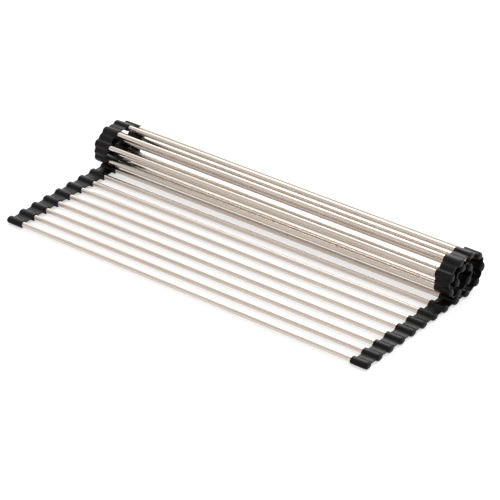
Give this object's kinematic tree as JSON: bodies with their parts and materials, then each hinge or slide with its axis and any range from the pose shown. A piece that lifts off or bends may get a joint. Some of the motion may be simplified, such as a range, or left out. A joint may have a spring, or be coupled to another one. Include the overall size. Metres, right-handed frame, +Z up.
{
  "type": "roll up dish drying rack",
  "caption": "Drying mat of round steel rods held in hinged black silicone side strips, flat at the front and rolled over at the back, for standing wet dishes over a sink.",
  "frame": {"origin": "middle of the bounding box's base, on the surface that the mat lies on", "axes": "+X along the rods to the right end, +Y from the front edge to the rolled back, +Z up"},
  "size_m": [0.452, 0.1984, 0.0483],
  "materials": {
    "rod": "smooth stainless tube, lightly brushed",
    "strip": "satin black silicone"
  },
  "bodies": {
    "slat_01": {"rod_01": "rod", "left_segment_01": "strip", "right_segment_01": "strip"},
    "slat_02": {"rod_02": "rod", "left_segment_02": "strip", "right_segment_02": "strip"},
    "slat_03": {"rod_03": "rod", "left_segment_03": "strip", "right_segment_03": "strip"},
    "slat_04": {"rod_04": "rod", "left_segment_04": "strip", "right_segment_04": "strip"},
    "slat_05": {"rod_05": "rod", "left_segment_05": "strip", "right_segment_05": "strip"},
    "slat_06": {"rod_06": "rod", "left_segment_06": "strip", "right_segment_06": "strip"},
    "slat_07": {"rod_07": "rod", "left_segment_07": "strip", "right_segment_07": "strip"},
    "slat_08": {"rod_08": "rod", "left_segment_08": "strip", "right_segment_08": "strip"},
    "slat_09": {"rod_09": "rod", "left_segment_09": "strip", "right_segment_09": "strip"},
    "slat_10": {"rod_10": "rod", "left_segment_10": "strip", "right_segment_10": "strip"},
    "slat_11": {"rod_11": "rod", "left_segment_11": "strip", "right_segment_11": "strip"},
    "slat_12": {"rod_12": "rod", "left_segment_12": "strip", "right_segment_12": "strip"},
    "slat_13": {"rod_13": "rod", "left_segment_13": "strip", "right_segment_13": "strip"},
    "slat_14": {"rod_14": "rod", "left_segment_14": "strip", "right_segment_14": "strip"},
    "slat_15": {"rod_15": "rod", "left_segment_15": "strip", "right_segment_15": "strip"},
    "slat_16": {"rod_16": "rod", "left_segment_16": "strip", "right_segment_16": "strip"},
    "slat_17": {"rod_17": "rod", "left_segment_17": "strip", "right_segment_17": "strip"},
    "slat_18": {"rod_18": "rod", "left_segment_18": "strip", "right_segment_18": "strip"},
    "slat_19": {"rod_19": "rod", "left_segment_19": "strip", "right_segment_19": "strip"},
    "slat_20": {"joined_slat_20": "rod"},
    "slat_21": {"joined_slat_21": "rod"},
    "slat_22": {"joined_slat_22": "rod"}
  },
  "joints": [
    {"name": "web_09_10", "type": "hinge", "parent": "slat_10", "child": "slat_09", "pos_m": [0, 0.06007, 0.0037], "axis": [1, 0, 0], "range_deg": [0, 30]},
    {"name": "web_08_09", "type": "hinge", "parent": "slat_09", "child": "slat_08", "pos_m": [0, 0.04187, 0.0037], "axis": [-1, 0, 0], "range_deg": [0, 25]},
    {"name": "web_07_08", "type": "hinge", "parent": "slat_08", "child": "slat_07", "pos_m": [0, 0.02367, 0.0037], "axis": [-1, 0, 0], "range_deg": [0, 25]},
    {"name": "web_06_07", "type": "hinge", "parent": "slat_07", "child": "slat_06", "pos_m": [0, 0.00547, 0.0037], "axis": [-1, 0, 0], "range_deg": [0, 25]},
    {"name": "web_05_06", "type": "hinge", "parent": "slat_06", "child": "slat_05", "pos_m": [0, -0.01273, 0.0037], "axis": [-1, 0, 0], "range_deg": [0, 25]},
    {"name": "web_04_05", "type": "hinge", "parent": "slat_05", "child": "slat_04", "pos_m": [0, -0.03093, 0.0037], "axis": [-1, 0, 0], "range_deg": [0, 25]},
    {"name": "web_03_04", "type": "hinge", "parent": "slat_04", "child": "slat_03", "pos_m": [0, -0.04913, 0.0037], "axis": [-1, 0, 0], "range_deg": [0, 25]},
    {"name": "web_02_03", "type": "hinge", "parent": "slat_03", "child": "slat_02", "pos_m": [0, -0.06733, 0.0037], "axis": [-1, 0, 0], "range_deg": [0, 25]},
    {"name": "web_01_02", "type": "hinge", "parent": "slat_02", "child": "slat_01", "pos_m": [0, -0.08553, 0.0037], "axis": [-1, 0, 0], "range_deg": [0, 25]},
    {"name": "web_10_11", "type": "hinge", "parent": "slat_10", "child": "slat_11", "pos_m": [0, 0.07827, 0.0037], "axis": [-1, 0, 0], "range_deg": [0, 31]},
    {"name": "web_11_12", "type": "hinge", "parent": "slat_11", "child": "slat_12", "pos_m": [0, 0.09387, 0.01307], "axis": [-1, 0, 0], "range_deg": [0, 50]},
    {"name": "web_12_13", "type": "hinge", "parent": "slat_12", "child": "slat_13", "pos_m": [0, 0.09672, 0.03105], "axis": [-1, 0, 0], "range_deg": [0, 59]},
    {"name": "web_13_14", "type": "hinge", "parent": "slat_13", "child": "slat_14", "pos_m": [0, 0.08278, 0.04275], "axis": [-1, 0, 0], "range_deg": [0, 30]},
    {"name": "web_14_15", "type": "hinge", "parent": "slat_14", "child": "slat_15", "pos_m": [0, 0.06485, 0.04591], "axis": [-1, 0, 0], "range_deg": [0, 24]},
    {"name": "web_15_16", "type": "hinge", "parent": "slat_15", "child": "slat_16", "pos_m": [0, 0.0472, 0.04151], "axis": [-1, 0, 0], "range_deg": [0, 43]},
    {"name": "web_16_17", "type": "hinge", "parent": "slat_16", "child": "slat_17", "pos_m": [0, 0.03728, 0.02624], "axis": [-1, 0, 0], "range_deg": [0, 61]},
    {"name": "web_17_18", "type": "hinge", "parent": "slat_17", "child": "slat_18", "pos_m": [0, 0.04583, 0.01017], "axis": [-1, 0, 0], "range_deg": [0, 69]},
    {"name": "web_18_19", "type": "hinge", "parent": "slat_18", "child": "slat_19", "pos_m": [0, 0.06389, 0.01239], "axis": [-1, 0, 0], "range_deg": [0, 31]},
    {"name": "web_19_20", "type": "hinge", "parent": "slat_19", "child": "slat_20", "pos_m": [0, 0.07823, 0.0236], "axis": [-1, 0, 0], "range_deg": [0, 83]},
    {"name": "web_20_21", "type": "hinge", "parent": "slat_20", "child": "slat_21", "pos_m": [0, 0.06886, 0.0392], "axis": [-1, 0, 0], "range_deg": [0, 78]},
    {"name": "web_21_22", "type": "hinge", "parent": "slat_21", "child": "slat_22", "pos_m": [0, 0.05165, 0.03327], "axis": [-1, 0, 0], "range_deg": [0, 70]}
  ],
  "couplings": [
    {"joint": "web_07_08", "follows": "web_08_09", "ratio": 1},
    {"joint": "web_06_07", "follows": "web_08_09", "ratio": 1},
    {"joint": "web_05_06", "follows": "web_08_09", "ratio": 1},
    {"joint": "web_04_05", "follows": "web_08_09", "ratio": 1},
    {"joint": "web_03_04", "follows": "web_08_09", "ratio": 1},
    {"joint": "web_02_03", "follows": "web_08_09", "ratio": 1},
    {"joint": "web_01_02", "follows": "web_08_09", "ratio": 1},
    {"joint": "web_10_11", "follows": "web_11_12", "ratio": 0.62},
    {"joint": "web_12_13", "follows": "web_11_12", "ratio": 1.18},
    {"joint": "web_13_14", "follows": "web_11_12", "ratio": 0.6},
    {"joint": "web_14_15", "follows": "web_11_12", "ratio": 0.48},
    {"joint": "web_15_16", "follows": "web_11_12", "ratio": 0.86},
    {"joint": "web_16_17", "follows": "web_11_12", "ratio": 1.22},
    {"joint": "web_17_18", "follows": "web_11_12", "ratio": 1.38},
    {"joint": "web_18_19", "follows": "web_11_12", "ratio": 0.62},
    {"joint": "web_19_20", "follows": "web_11_12", "ratio": 1.66},
    {"joint": "web_20_21", "follows": "web_11_12", "ratio": 1.56},
    {"joint": "web_21_22", "follows": "web_11_12", "ratio": 1.4}
  ]
}
